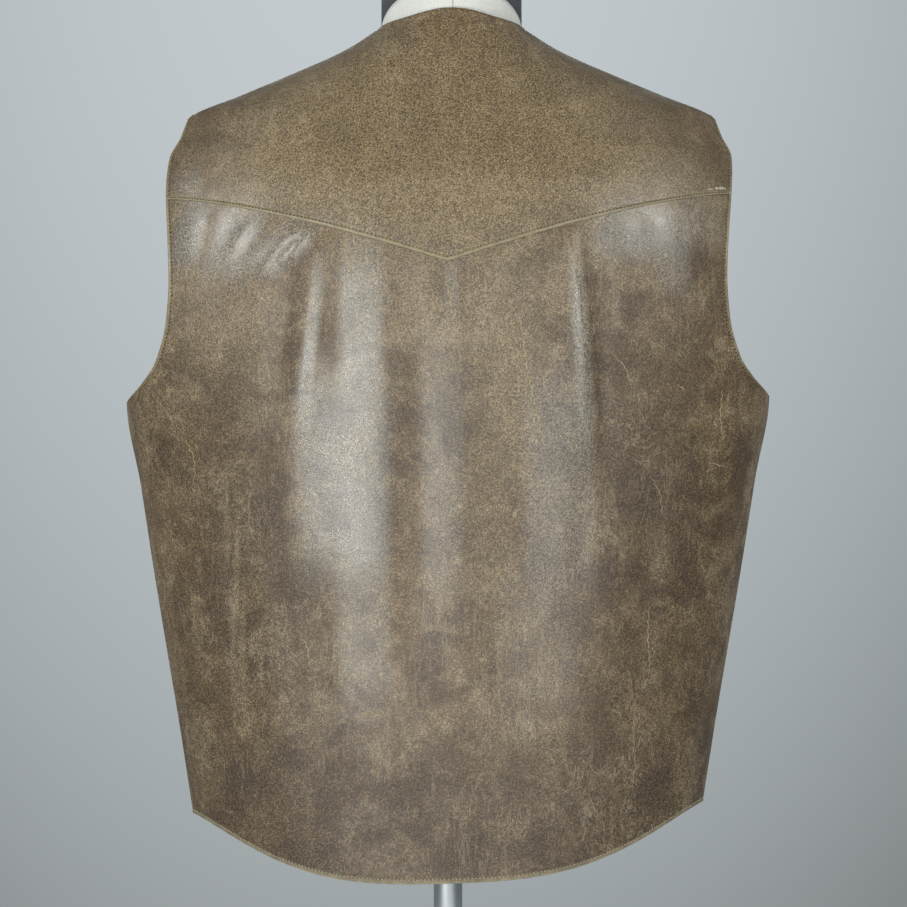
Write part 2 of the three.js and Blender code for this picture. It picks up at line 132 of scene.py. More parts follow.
# Soft boxes round the vest: degrees from behind it towards its left, degrees up, metres off, metres across
# and high, and watts
BOX_AIM = (0, 0, 0.55)
BOX_COLOUR = (0.985, 1, 0.975)
SOFT_BOXES = [
    ("left_box", 24, -5.5, 3.2, 1.6, 0.65, 35.5),
    ("left_upper_box", 22, 10, 3.2, 1.1, 0.6, 7),
    ("middle_box", -6, -6.5, 3.2, 1.25, 0.6, 7),
    ("right_box", -28, 1, 3.2, 0.7, 1.1, 20),
    ("high_left_box", 71, 22, 3, 1.1, 0.5, 24.5),
    ("high_right_box", -60, 24, 3, 0.9, 0.5, 19),
    ("front_box", 178, 10, 3.2, 1.5, 1.2, 22),
]

# The backdrop's brightness by direction: where it peaks, how it falls off to the sides and below, and the
# share that is left of it behind the camera
BACKDROP_COLOUR = (0.93, 1.015, 1.05, 1)
BACKDROP_PEAK = 0.587
BACKDROP_ASIDE = 0.018
BACKDROP_ABOVE = 0.159
BACKDROP_SIDE_FALL = 7.4
BACKDROP_LOW_FALL = 2.86
BACKDROP_LEAST = 0.25
BACKDROP_BEHIND = 0.22
BACKDROP_TURN = (-0.3, 0.4)
FLOOR_RADIUS = 1300


def table(names, rows):
    """Columns of a short table by name."""
    return {name: np.array([row[i] for row in rows], float) for i, name in enumerate(names.split())}


def named(names, rows):
    """Rows of a short table, each with its values by name."""
    return [dict(zip(names.split(), row)) for row in rows]


SECTIONS = table("level half_width back front rise drop corner tilt shift", [
    (-20, 183.4, 122, 129, 0, 0, 0.7, 0.034, 0),
    (45.5, 194.4, 121, 128, 0, 0, 0.7, 0.023, 0),
    (112, 204.8, 118, 128, 0, 0, 0.69, 0.02, 0),
    (174, 215.2, 117, 129, 0, 0, 0.67, 0.017, 0),
    (236, 225.4, 119, 132, 0, 0, 0.65, 0.014, 0),
    (297, 234.8, 123, 137, 0, 0, 0.63, 0.011, 0),
    (360, 245.4, 128, 140, 0, 0, 0.61, 0.01, 0),
    (400, 244.4, 131, 139, 0, 0, 0.6, 0.01, 0),
    (449, 238.4, 132, 133, 0, 0, 0.6, 0.011, 0),
    (514.5, 227.4, 124, 115, 0, 0, 0.6, 0.01, -0.6),
    (541.7, 218.8, 113.5, 104, 0, 3, 0.6, 0.006, -1.8),
    (558, 210, 105, 97.5, 0, 7, 0.6, 0.003, -2.4),
    (574.5, 200, 96, 91, 1, 13, 0.6, 0, -2.7),
    (589.9, 164.5, 88, 83, 2.5, 20, 0.6, 0, -2.7),
    (605.3, 126, 80.5, 74, 4.5, 27, 0.6, 0, -2.7),
    (620.7, 88, 73.5, 63, 7.5, 33, 0.6, 0, -2.7),
    (630, 69.5, 69, 56.5, 11, 35.5, 0.6, 0, -2.7),
    (637.5, 56, 64.6, 51, 16, 36, 0.59, 0, -2.7),
    (650, 49, 60, 46, 17, 36, 0.56, 0, -2.7),
])

BACK_ARMHOLE = table("level half_width", [
    (360, 245.4), (374, 231), (389, 220.5), (419, 212), (449, 210),
    (479, 211.3), (526, 214.3), (542, 213.2), (558, 205.4), (574.5, 200),
])
FRONT_ARMHOLE = table("level half_width", [
    (360, 245.4), (372, 227), (386, 212), (405, 202), (450, 194),
    (490, 192.5), (530, 194.5), (574.5, 200),
])
FRONT_EDGE = table("level half_width", [
    (8, 12), (13, -3), (21, -11), (36, -15), (368, -15), (400, -6),
    (440, 10), (480, 24), (520, 36), (560, 46), (600, 52), (637.5, 56),
])

# Folds and creases of the hanging hide, each from its top to its bottom. Plus and minus are its widths
# towards +X and -X, lift is how far it stands out or, negative, sinks, the two fades are the lengths over
# which its ends die out, and some bow towards +X between their ends.
FOLD_COLUMNS = "top_x top_level bottom_x bottom_level plus minus lift top_fade bottom_fade bow"
FOLDS = {
    "back": named(FOLD_COLUMNS, [
        # Crest under the left shoulder blade, gentle towards the middle and steep on its side of the trough
        (99, 492, 117, 325, 8, 15, 3.2, 26, 90),
        (109, 490, 131, 325, 13, 8, -3, 26, 90),
        # The same under the right shoulder blade
        (-92, 492, -109, 290, 14, 7, 3.2, 26, 60),
        (-102, 490, -120, 290, 7, 12, -3, 26, 60),
        (80, 420, 66, 60, 24, 24, 0.9, 45, 90),
        (22, 440, 18, 120, 12, 12, -1.6, 45, 90),
        (-14, 430, -16, 130, 22, 18, 1.8, 45, 90),
        (-112, 400, -96, 150, 15, 15, -2.5, 45, 90),
        # Crest with a long side towards the wearer's left and a short one towards the middle
        (44, 480, 41, 150, 32, 5, 1.6, 70, 90),
        # Short slanting creases that run down from the yoke on the left
        (104, 487, 139, 445, 10, 8, 1.8, 7, 24, 8),
        (103, 482, 126, 448, 6, 6, -1.1, 7, 20, 6),
        (130, 494, 156, 450, 8, 7, 1.1, 12, 24, 6),
        (154, 500, 174, 455, 10, 9, 1.3, 12, 24, 5),
        (141, 496, 160, 450, 6, 6, -1, 12, 24, 6),
        (186, 502, 200, 462, 10, 9, 1.1, 12, 20, 3),
        (170, 500, 187, 455, 6, 6, -1, 12, 24, 4),
        # Slanting creases that run down from the yoke on the right
        (-158, 500, -166, 448, 13, 12, 1.2, 12, 24),
        (-140, 498, -146, 452, 8, 8, -0.6, 12, 24),
        (-186, 502, -196, 462, 10, 10, 0.9, 12, 24),
        # Soft waves of the lower back and the sides
        (134, 210, 124, 40, 15, 17, 1.8, 60, 50),
        (156, 260, 148, 70, 9, 8, -1.6, 60, 60),
        (-62, 230, -54, 50, 18, 14, 1.6, 60, 50),
        (-152, 300, -138, 70, 13, 14, -1.8, 60, 60),
        (-172, 330, -158, 120, 12, 10, 1.6, 60, 60),
        (184, 350, 168, 130, 12, 12, 1.8, 60, 60),
        (20, 110, 16, 15, 12, 10, -1, 40, 30),
    ]),
    "front": named(FOLD_COLUMNS, [
        (128, 470, 96, 90, 22, 22, 5, 45, 90),
        (-124, 480, -100, 110, 20, 20, 4.5, 45, 90),
        (168, 380, 140, 70, 18, 18, -3.5, 45, 90),
        (-166, 370, -142, 60, 18, 18, -3.5, 45, 90),
        # Creases that run from the V's lower end out to the underarms
        (60, 420, 112, 330, 8, 7, 1.8, 30, 50, -6),
        (-58, 424, -108, 336, 7, 8, 1.8, 30, 50, 6),
        (78, 416, 126, 330, 7, 7, -1.5, 30, 50, -6),
        (-75, 420, -124, 334, 7, 7, -1.5, 30, 50, 6),
        # Soft waves between the snaps and over the hips
        (58, 330, 44, 60, 16, 14, 1.8, 60, 60),
        (-56, 320, -46, 70, 14, 16, 1.8, 60, 60),
        (190, 350, 174, 110, 12, 12, 1.8, 60, 60),
        (-188, 340, -172, 100, 12, 12, 1.8, 60, 60),
    ]),
}

FORM_RINGS = table("level half_width back front rise drop square corner", [
    (76, 156, 95, 99, 0, 0, 2.3, 0.52),
    (80, 160, 98, 102, 0, 0, 2.3, 0.52),
    (110, 161, 98, 103, 0, 0, 2.3, 0.52),
    (160, 162, 97, 103, 0, 0, 2.3, 0.52),
    (215, 171, 100, 109, 0, 0, 2.3, 0.52),
    (275, 185, 107, 118, 0, 0, 2.3, 0.53),
    (340, 195, 114, 127, 0, 0, 2.35, 0.55),
    (400, 196, 119, 128, 0, 0, 2.4, 0.57),
    (449, 196, 121, 123, 0, 0, 2.4, 0.58),
    (490, 196, 119.5, 114, 0, 0, 2.4, 0.6),
    (514.5, 196, 117, 108, 0, 0, 2.4, 0.6),
    (541.7, 196, 110, 99.5, 0, 3, 2.4, 0.6),
    (558, 196, 103, 94, 0, 7, 2.4, 0.6),
    (574.5, 193.5, 94.4, 89, 1, 13, 2.4, 0.63),
    (582, 181.6, 90.4, 85.4, 1.7, 16.4, 2.4, 0.63),
    (589.9, 162.8, 86.6, 81.4, 2.5, 20, 2.4, 0.63),
    (597.6, 143.6, 82.7, 77, 3.4, 23.5, 2.4, 0.63),
    (605.3, 124.3, 79, 72.3, 4.5, 27, 2.4, 0.63),
    (613, 105.2, 75.5, 67, 5.7, 30, 2.4, 0.63),
    (620.7, 85.9, 71.8, 61, 7, 33, 2.4, 0.63),
    (629, 66.5, 66.3, 54, 8.6, 35, 2.3, 0.58),
    (634.5, 55.6, 61.2, 49, 12, 35, 2.1, 0.54),
    (638.5, 54.1, 58.6, 46.6, 22, 33.5, 2, 0.5),
    (642, 54, 58, 46, 32, 31, 2, 0.5),
])
# The neck cap's rings: how far each is above the form, and its share of the form's outline there
CAP_RINGS = [(0.3, 0.985), (0.6, 1), (25, 1), (28, 0.985), (30, 0.96), (31.4, 0.92), (32, 0.87)]

# Soft spots on the back, of painted highlight, painted shade and paler hide: where each lies, its half
# sizes, its strength and, for some, its lean
SPOT_COLUMNS = "x level wide high amount lean"
# Glossier spots, which also carry a painted pale grey highlight
GLOSS_AND_PAINTED_HIGHLIGHT = named(SPOT_COLUMNS, [
    (78, 306, 34, 72, 1), (62, 200, 19, 70, 0.4, 0.04), (64, 420, 16, 60, 0.8),
    (101, 400, 5, 60, 0.9, -0.12), (4, 300, 16, 95, 0.4), (-3, 440, 5, 24, 0.5),
    (-82, 300, 26, 80, 0.7), (-98, 400, 6, 70, 1, 0.08), (-70, 180, 30, 60, 0.3),
    (122, 472, 20, 22, 0.9, -1), (158, 478, 20, 26, 0.95, -0.3), (194, 484, 13, 24, 0.95, -0.2),
    (-140, 482, 32, 22, 1), (-168, 462, 12, 26, 0.7), (196, 520, 11, 12, 0.7), (-190, 490, 16, 20, 0.5),
])
# Painted shade in the crease troughs, at the sides and near the hem, with some darker patches on the yoke
PAINTED_SHADE_AND_DARK_PATCHES = named(SPOT_COLUMNS, [
    (112, 420, 6, 50, 0.8, -0.15), (-109, 400, 5, 70, 0.9, 0.08), (-150, 330, 40, 90, 0.6),
    (-160, 200, 46, 120, 0.5), (165, 300, 46, 110, 0.5), (0, 42, 175, 60, 0.9),
    (88, 418, 9, 44, 0.5, -0.05), (160, 130, 50, 90, 0.5), (128, 250, 10, 60, 0.5, 0.1),
    (103, 186, 18, 66, 0.8, 0.15), (112, 44, 40, 40, 0.7), (-124, 58, 42, 42, 0.8),
    (-130, 24, 60, 22, 0.8), (130, 24, 60, 22, 0.8), (-118, 562, 30, 13, 0.5), (168, 551, 28, 11, 0.5),
    (130, 574, 26, 11, 0.5), (44, 622, 15, 13, 0.5), (-105, 598, 24, 11, 0.5), (-150, 573, 26, 11, 0.5),
])
LIGHTENED = named(SPOT_COLUMNS, [
    (0, 558, 170, 78, 0.95), (150, 525, 60, 26, 0.35), (-150, 525, 50, 20, 0.5), (0, 454, 95, 54, 0.28),
    (10, 430, 74, 90, 0.2), (165, 436, 45, 66, 0.35), (-30, 340, 16, 110, 0.4), (-60, 372, 20, 60, 0.3),
    (-38, 372, 6, 14, 0.5), (-202, 488, 9, 22, 0.6), (83, 561, 9, 4.5, 0.7, 0.6), (62, 531, 6, 4, 0.6),
    (118, 530, 8, 7, 0.6, 0.5), (139, 541, 8, 5, 0.5), (157.5, 232, 2.2, 44, 0.6, -0.02),
    (152.5, 170, 1.8, 50, 0.5), (161, 176, 2, 40, 0.5, 0.02), (165, 270, 1.5, 40, 0.4),
])

# Scratches on the back body: how wide each is, and the places that it runs through
SCRATCHES = [
    (1.9, (-52.9, 418), (-55.9, 398), (-58.9, 376), (-61.8, 365), (-68.5, 335), (-72.3, 317)),
    (2, (76, 480), (74.2, 468), (70.8, 450)),
    (1.5, (-170.6, 367.6), (-177.3, 362.5)),
    (1.1, (-205.6, 364), (-204, 346), (-205.6, 328)),
    (1.4, (-195.2, 309.2), (-208.6, 305.5)),
    (1.3, (192, 295), (187.7, 290.7)),
    (1.5, (-57.4, 171.6), (-64.8, 172)),
    (1.7, (2.2, 452), (-0.7, 438), (-5.2, 409)),
    (0.9, (-150, 205), (-149, 180), (-151, 150)),
    (0.9, (-139, 130), (-138, 105), (-139, 84)),
    (1, (196, 330), (190, 318), (189, 300)),
    (0.9, (148, 400), (138, 392), (133, 380)),
    (1, (-120, 392), (-131, 381), (-136, 366)),
    (0.9, (-88, 156), (-102, 150), (-112, 152)),
    (1, (64, 128), (48, 124), (36, 127)),
    (0.9, (112, 190), (104, 176), (101, 158)),
    (0.9, (-150, 300), (-158, 286), (-160, 268)),
]
YOKE_SCRATCHES = [
    (4.4, (-199, 515.2), (-203.5, 515.6), (-208, 515.4)),
    (2.2, (-192.5, 514.2), (-197, 514.6)),
]


def smooth(value, low=0.0, high=1.0):
    """A soft step from 0 at low to 1 at high."""
    share = np.clip((value - low) / (high - low), 0, 1)
    return share * share * (3 - 2 * share)


def mix(a, b, share):
    return a + (b - a) * share


def read(rows, name, level):
    """A column's value at each level, along a smooth curve that doesn't overshoot its rows."""
    levels, values = rows["level"], rows[name]
    level = np.clip(level, levels[0], levels[-1])
    run = np.diff(levels)
    slope = np.diff(values) / run
    product = slope[:-1] * slope[1:]
    total = np.where(product > 0, slope[:-1] + slope[1:], 1)
    inner = np.where(product > 0, 2 * product / total, 0)
    tangent = np.concatenate([slope[:1], inner, slope[-1:]])
    i = np.clip(np.searchsorted(levels, level, side="right") - 1, 0, len(run) - 1)
    share = (level - levels[i]) / run[i]
    blend = smooth(share)
    bend = (1 - share) * tangent[i] - share * tangent[i + 1]
    return mix(values[i], values[i + 1], blend) + run[i] * share * (1 - share) * bend


def ridge_level(x):
    """The level at which the shoulder ridge is this far from the middle."""
    low = np.full(np.shape(x), float(SHOULDER_TIP))
    high = np.full(np.shape(x), float(NECK_SIDE))
    for _ in range(30):
        middle = (low + high) / 2
        wide = read(SECTIONS, "half_width", middle) > x
        low = np.where(wide, middle, low)
        high = np.where(wide, high, middle)
    return (low + high) / 2


def fold_lift(side, x, level):
    """How far the folds move the hide out at each place."""
    total = np.zeros(np.broadcast(x, level).shape)
    for fold in FOLDS[side]:
        down = (fold["top_level"] - level) / (fold["top_level"] - fold["bottom_level"])
        bow = fold.get("bow", 0) * 4 * np.clip(down, 0, 1) * (1 - np.clip(down, 0, 1))
        across = x - mix(fold["top_x"], fold["bottom_x"], down) - bow
        across = across / np.where(across > 0, fold["plus"], fold["minus"])
        ends = smooth(fold["top_level"] - level, 0, fold["top_fade"])
        ends = ends * smooth(level - fold["bottom_level"], 0, fold["bottom_fade"])
        total = total + fold["lift"] * np.exp(-across * across) * ends
    return total


def on_vest(side, x, level):
    """Points on the inner face of the hide."""
    half_width = read(SECTIONS, "half_width", level)
    room = np.clip(1 - (np.abs(x) / half_width) ** SQUARENESS, 0, None)
    fullness = room ** read(SECTIONS, "corner", level)
    depth = read(SECTIONS, side, level) * fullness + fold_lift(side, x, level) * np.sqrt(room)
    out = np.maximum(depth, SEAM_GAP / 2)
    behind = side == "back"
    climb = read(SECTIONS, "rise", level) if behind else -read(SECTIONS, "drop", level)
    height = HEM_HEIGHT + level + climb * fullness - x * read(SECTIONS, "tilt", level)
    return np.stack([x + read(SECTIONS, "shift", level), out if behind else -out, height], axis=-1)


def walk(steps):
    """Distances walked along a path, from the lengths of its steps."""
    return np.concatenate([[0], np.cumsum(steps)])


def unit(vectors):
    return vectors / np.maximum(np.linalg.norm(vectors, axis=-1, keepdims=True), 1e-12)


def outward_of(points, side):
    """Outward directions of a grid of points, whose rows go up and whose columns go towards +X."""
    up = np.gradient(points, axis=0)
    across = np.gradient(points, axis=1)
    outward = np.cross(up, across) if side == "back" else np.cross(across, up)
    outward[..., 1][np.abs(points[..., 1]) <= SEAM_GAP] = 0
    return unit(outward)


def panel_edge(armhole, level):
    """Half a panel's width: its side seam's, or its armhole's above the underarm."""
    side = read(SECTIONS, "half_width", level)
    return np.where(level <= UNDERARM, side, read(armhole, "half_width", level))


def hem_level(across):
    return mix(HEM_SIDE, 0, np.clip(1 - np.abs(across) ** HEM_FLATNESS, 0, 1) ** HEM_TURN)


def yoke_seam_level(across):
    return mix(YOKE_END, YOKE_POINT, np.clip(1 - np.abs(across), 0, 1) ** YOKE_BEND)


def yoke_top_level(across):
    x = np.abs(across) * SHOULDER_HALF
    share = np.clip(x / NECK_HALF, 0, 1)
    scoop = NECK_SCOOP * SCOOP_PEAK * share ** 2 * (1 - share)
    return np.where(x < NECK_HALF, NECK_SIDE - scoop, ridge_level(np.maximum(x, NECK_HALF)))


# Distances from a panel's edge at which its grid has lines, for its rounding and its stitches
EDGE_STEPS = np.array([0, 0.12, 0.4, 0.8, 1.3, 1.9, 2.5, STITCH_INSET, 3.8, 5, 7.5])
STITCH_LINE = 7
SIDE_STITCH_LINE = 9
FINE_SAMPLES = 700


def ladder(span, count):
    """Places from 0 to 1 along a span in mm, with the edge's steps at both ends."""
    steps = EDGE_STEPS / span
    middle = np.linspace(steps[-1], 1 - steps[-1], count + 2)[1:-1]
    return np.concatenate([steps, middle, 1 - steps[::-1]])


def spread(lay, grid):
    """Lays a grid whose columns are evenly spaced along each row, and near its ends at the edge's steps.

    lay(share, row) gives the side, the place across and the level for shares from 0 to 1 of a row."""
    height, row_count, columns = grid
    rows = ladder(height, row_count)[:, None]
    fine = (1 - np.cos(np.linspace(0, math.pi, FINE_SAMPLES))) / 2
    shares = np.broadcast_to(fine, (len(rows), FINE_SAMPLES))
    side, x, level = lay(shares, rows)
    steps = np.linalg.norm(np.diff(on_vest(side, x, level), axis=1), axis=-1)
    walked = np.array([walk(row) for row in steps])
    shares = np.empty((len(rows), columns + 2 * len(EDGE_STEPS)))
    from_left = np.empty_like(shares)
    for i, path in enumerate(walked):
        from_left[i] = ladder(path[-1], columns) * path[-1]
        shares[i] = np.interp(from_left[i], path, fine)
    side, x, level = lay(shares, rows)
    return {
        "side": side, "x": x, "level": level, "share": shares, "row": rows,
        "left": from_left, "right": walked[:, -1:] - from_left,
    }


# How each kind of edge is finished: its rounding radius, its swell, and where the swell is
FINISHES = {
    "turned": (1.1, 0.4, 1.6),
    "rolled": (1.1, 0.4, 1.6),
    "seam": (2.4, 0.35, 3),
    "hidden": (0.8, 0, 2),
}
SWELL_WIDTH = 1.1
GROOVE_DEPTH = 0.3
GROOVE_WIDTH = 0.55
# A distance at which an edge no longer shows
FAR = 60.0


def walls(sheet, edges, lift):
    """Gives a sheet its inner and outer faces. edges says how each of its four edges is finished."""
    points = on_vest(sheet["side"], sheet["x"], sheet["level"])
    outward = outward_of(points, sheet["side"])
    outer = np.full(sheet["x"].shape, float(HIDE_THICKNESS))
    roundness = np.ones_like(outer)
    near = {"turned": np.full_like(outer, FAR), "seam": np.full_like(outer, FAR)}
    for name, finish in edges.items():
        distance = sheet[name]
        kind = np.asarray(finish)
        for which, (radius, swell, middle) in FINISHES.items():
            here = np.broadcast_to(kind == which, distance.shape)
            curve = np.sqrt(1 - (1 - np.clip(distance / radius, 0, 1)) ** 2)
            roundness = np.where(here, np.minimum(roundness, curve), roundness)
            puff = swell * np.exp(-((distance - middle) / SWELL_WIDTH) ** 2)
            outer = outer + np.where(here, puff, 0)
            if which == "turned":
                groove = GROOVE_DEPTH * np.exp(-((distance - STITCH_INSET) / GROOVE_WIDTH) ** 2)
                outer = outer - np.where(here, groove, 0)
            if which in near:
                near[which] = np.where(here, np.minimum(near[which], distance), near[which])
    middle = HIDE_THICKNESS / 2
    away = lift + middle
    sheet["outward"] = outward
    sheet["outer"] = points + outward * (away + (outer - middle) * roundness)[..., None]
    sheet["inner"] = points + outward * (away - middle * roundness)[..., None]
    sheet["turned"] = near["turned"]
    sheet["sewn"] = near["seam"]
    return sheet


def back_body_sheet():
    def lay(share, row):
        across = 2 * share - 1
        edge = mix(HEM_SIDE, YOKE_END + YOKE_LAP, row)
        level = mix(hem_level(across), yoke_seam_level(across) + YOKE_LAP, row)
        return "back", across * panel_edge(BACK_ARMHOLE, edge), level

    sheet = spread(lay, BODY_GRID)
    across = 2 * sheet["share"] - 1
    sheet["bottom"] = sheet["level"] - hem_level(across)
    sheet["top"] = yoke_seam_level(across) + YOKE_LAP - sheet["level"]
    edge_levels = mix(HEM_SIDE, YOKE_END + YOKE_LAP, sheet["row"])
    sides = np.where(edge_levels > UNDERARM, "turned", "seam")
    return walls(sheet, {"left": sides, "right": sides, "bottom": "turned", "top": "hidden"}, 0)


def back_yoke_sheet():
    def lay(share, row):
        across = 2 * share - 1
        edge = mix(YOKE_END, SHOULDER_TIP, row)
        level = mix(yoke_seam_level(across), yoke_top_level(across), row)
        flush = panel_edge(BACK_ARMHOLE, edge) - LAP_LIFT * (1 - smooth(edge, YOKE_END, SHOULDER_TIP))
        return "back", across * flush, level

    sheet = spread(lay, YOKE_GRID)
    across = 2 * sheet["share"] - 1
    sheet["bottom"] = sheet["level"] - yoke_seam_level(across)
    sheet["top"] = yoke_top_level(across) - sheet["level"]
    lift = LAP_LIFT * (1 - smooth(sheet["bottom"], YOKE_LAP, YOKE_LIFT_FADE))
    top = np.where(np.abs(across) * SHOULDER_HALF < NECK_HALF, "rolled", "seam")
    return walls(sheet, {"left": "turned", "right": "turned", "bottom": "turned", "top": top}, lift)


def front_sheet(turn):
    """A front; turn is 1 on the wearer's left, which laps over the other, and -1 on the right."""
    def lay(share, row):
        inward = 1 - share if turn < 0 else share
        inner = mix(FRONT_POINT, NECK_SIDE, row)
        outer = mix(HEM_SIDE, SHOULDER_TIP, row)
        x = mix(read(FRONT_EDGE, "half_width", inner), panel_edge(FRONT_ARMHOLE, outer), inward)
        chord = mix(NECK_SIDE, SHOULDER_TIP, inward)
        bow = ridge_level(mix(NECK_HALF, SHOULDER_HALF, inward)) - chord
        bow = bow * np.clip((row - FRONT_CHEST) / (1 - FRONT_CHEST), 0, 1) ** 4
        sag = FRONT_SAG * (1 - smooth(row, 0, FRONT_CHEST)) * np.sin(math.pi * inward)
        return "front", turn * x, mix(inner, outer, inward) + bow - sag

    sheet = spread(lay, FRONT_GRID)
    sheet["bottom"] = np.broadcast_to(sheet["row"] * FRONT_GRID[0], sheet["x"].shape)
    sheet["top"] = np.broadcast_to((1 - sheet["row"]) * FRONT_GRID[0], sheet["x"].shape)
    armhole = np.where(mix(HEM_SIDE, SHOULDER_TIP, sheet["row"]) > UNDERARM, "turned", "seam")
    near_middle = 1 - smooth(turn * sheet["x"], FRONT_OVERLAP + 3, FRONT_LIFT_WIDTH)
    lift = LAP_LIFT * near_middle * (1 - smooth(sheet["level"], *FRONT_LIFT_LEVELS)) if turn > 0 else 0
    inner_side, outer_side = ("left", "right") if turn > 0 else ("right", "left")
    edges = {inner_side: "turned", outer_side: armhole, "bottom": "turned", "top": "seam"}
    return walls(sheet, edges, lift)


def new_object(name, mesh):
    made = bpy.data.objects.new(name, mesh)
    bpy.context.scene.collection.objects.link(made)
    return made


def new_piece(name, points, faces, material, attributes=None):
    """A mesh of points in mm, with a material and, by name, a number for each point."""
    mesh = bpy.data.meshes.new(name)
    mesh.from_pydata((np.asarray(points) * METRE).tolist(), [], faces)
    mesh.validate()
    mesh.shade_smooth()
    for key, values in (attributes or {}).items():
        layer = mesh.attributes.new(key, "FLOAT", "POINT")
        layer.data.foreach_set("value", np.asarray(values, np.float32))
    mesh.materials.append(material)
    return new_object(name, mesh)


def spots(rows, x, level):
    """How strongly a table of soft spots marks each place, from 0 to about 1."""
    total = np.zeros(x.shape)
    for spot in rows:
        up = level - spot["level"]
        across = (x - spot["x"] - spot.get("lean", 0) * up) / spot["wide"]
        total = total + spot["amount"] * np.exp(-across ** 6 - (up / spot["high"]) ** 4)
    return np.clip(total, 0, 1)


def hide_piece(name, sheet, material):
    """The closed shell of a sheet, whose inner and outer faces share the points of their rim."""
    rows, columns = sheet["x"].shape
    outer = np.arange(rows * columns).reshape(rows, columns)
    inner = outer.copy()
    within = (rows - 2, columns - 2)
    inner[1:-1, 1:-1] = rows * columns + np.arange(within[0] * within[1]).reshape(within)
    points = np.concatenate([sheet["outer"].reshape(-1, 3), sheet["inner"][1:-1, 1:-1].reshape(-1, 3)])

    def quads(grid, flip):
        corners = [grid[:-1, :-1], grid[:-1, 1:], grid[1:, 1:], grid[1:, :-1]]
        if flip:
            corners.reverse()
        return np.stack(corners, axis=-1).reshape(-1, 4)

    behind = sheet["side"] == "back"
    faces = np.concatenate([quads(outer, behind), quads(inner, not behind)])
    faces = [face for face in faces.tolist() if len(set(face)) == 4]
    # Spot tables as attributes: painted highlight with gloss, painted shade with darker patches, and paler
    # hide
    tables = {"gloss_and_painted_highlight": GLOSS_AND_PAINTED_HIGHLIGHT, "painted_shade_and_dark_patches": PAINTED_SHADE_AND_DARK_PATCHES, "light": LIGHTENED}
    layers = {"turned": sheet["turned"], "sewn": sheet["sewn"]}
    layers |= {key: spots(rows, sheet["x"], sheet["level"]) * behind for key, rows in tables.items()}
    values = {
        key: np.concatenate([layer.reshape(-1), layer[1:-1, 1:-1].reshape(-1)])
        for key, layer in layers.items()
    }
    return new_piece(name, points, faces, material, values)


# A stitch is a thread that dives at both ends: each ring's place along it, its radius and its height
THREAD_RINGS = [
    (-1.1, 0.12, -0.15), (-0.75, 0.3, 0.1), (0, 0.36, 0.24), (0.75, 0.3, 0.1), (1.1, 0.12, -0.15),
]
THREAD_SIDES = 6
STITCH_REACH = 0.8
# The needle's hole between two stitches: a dimpled disc, painted dark as the hole's shade, with heights for
# its rim, floor and underside
HOLE_SIDES = 8
HOLE_RADIUS = 0.58
HOLE_HEIGHTS = (0.12, 0.02, -0.4)


def stitch_row(path, outward):
    """Middles and directions of the stitches along a path of points, and the holes between them."""
    walked = walk(np.linalg.norm(np.diff(path, axis=0), axis=1))
    count = max(2, int(walked[-1] / STITCH_PITCH))
    at = (np.arange(count) + 0.5) * walked[-1] / count

    def along(values, places):
        return np.stack([np.interp(places, walked, values[:, k]) for k in range(3)], axis=-1)

    middle = along(path, at)
    ahead = unit(along(path, at + STITCH_REACH) - along(path, at - STITCH_REACH))
    normal = unit(along(outward, at))
    return middle, ahead, normal, along(path, at + STITCH_PITCH / 2)


def thread_piece(name, rows, material):
    """All the stitches of some rows as one mesh."""
    points, faces = [], []
    ring = np.arange(THREAD_SIDES)
    turns = 2 * math.pi * ring / THREAD_SIDES
    for middle, ahead, normal, _ in rows:
        beside = np.cross(normal, ahead)
        for m, a, n, b in zip(middle, ahead, normal, beside):
            base = len(points)
            for along, radius, height in THREAD_RINGS:
                centre = m + a * along + n * height
                points.extend(centre + radius * (np.cos(t) * b + np.sin(t) * n) for t in turns)
            for k in range(len(THREAD_RINGS) - 1):
                low = base + k * THREAD_SIDES
                for i in ring:
                    j = (i + 1) % THREAD_SIDES
                    faces.append((low + i, low + THREAD_SIDES + i, low + THREAD_SIDES + j, low + j))
            last = base + (len(THREAD_RINGS) - 1) * THREAD_SIDES
            faces.append(tuple(base + i for i in ring))
            faces.append(tuple(last + i for i in ring[::-1]))
    return new_piece(name, points, faces, material)


def hole_piece(name, rows, material):
    """The needle holes between the stitches of some rows, as low dimpled discs."""
    points, faces = [], []
    rim, dimple, underside = HOLE_HEIGHTS
    turns = 2 * math.pi * np.arange(HOLE_SIDES) / HOLE_SIDES
    for _, ahead, normal, holes in rows:
        beside = np.cross(normal, ahead)
        for h, a, n, b in zip(holes, ahead, normal, beside):
            base = len(points)
            points.extend(h + n * rim + HOLE_RADIUS * (np.cos(t) * a + np.sin(t) * b) for t in turns)
            points.extend([h + n * dimple, h + n * underside])
            for i in range(HOLE_SIDES):
                j = (i + 1) % HOLE_SIDES
                faces.append((base + i, base + j, base + HOLE_SIDES))
                faces.append((base + j, base + i, base + HOLE_SIDES + 1))
    return new_piece(name, points, faces, material)


# A scratch's points are this far apart, and its two sides and its middle stand this far off the hide
SCRATCH_STEP = 1.5
SCRATCH_HEIGHTS = np.array([-0.05, 0.2, -0.05])


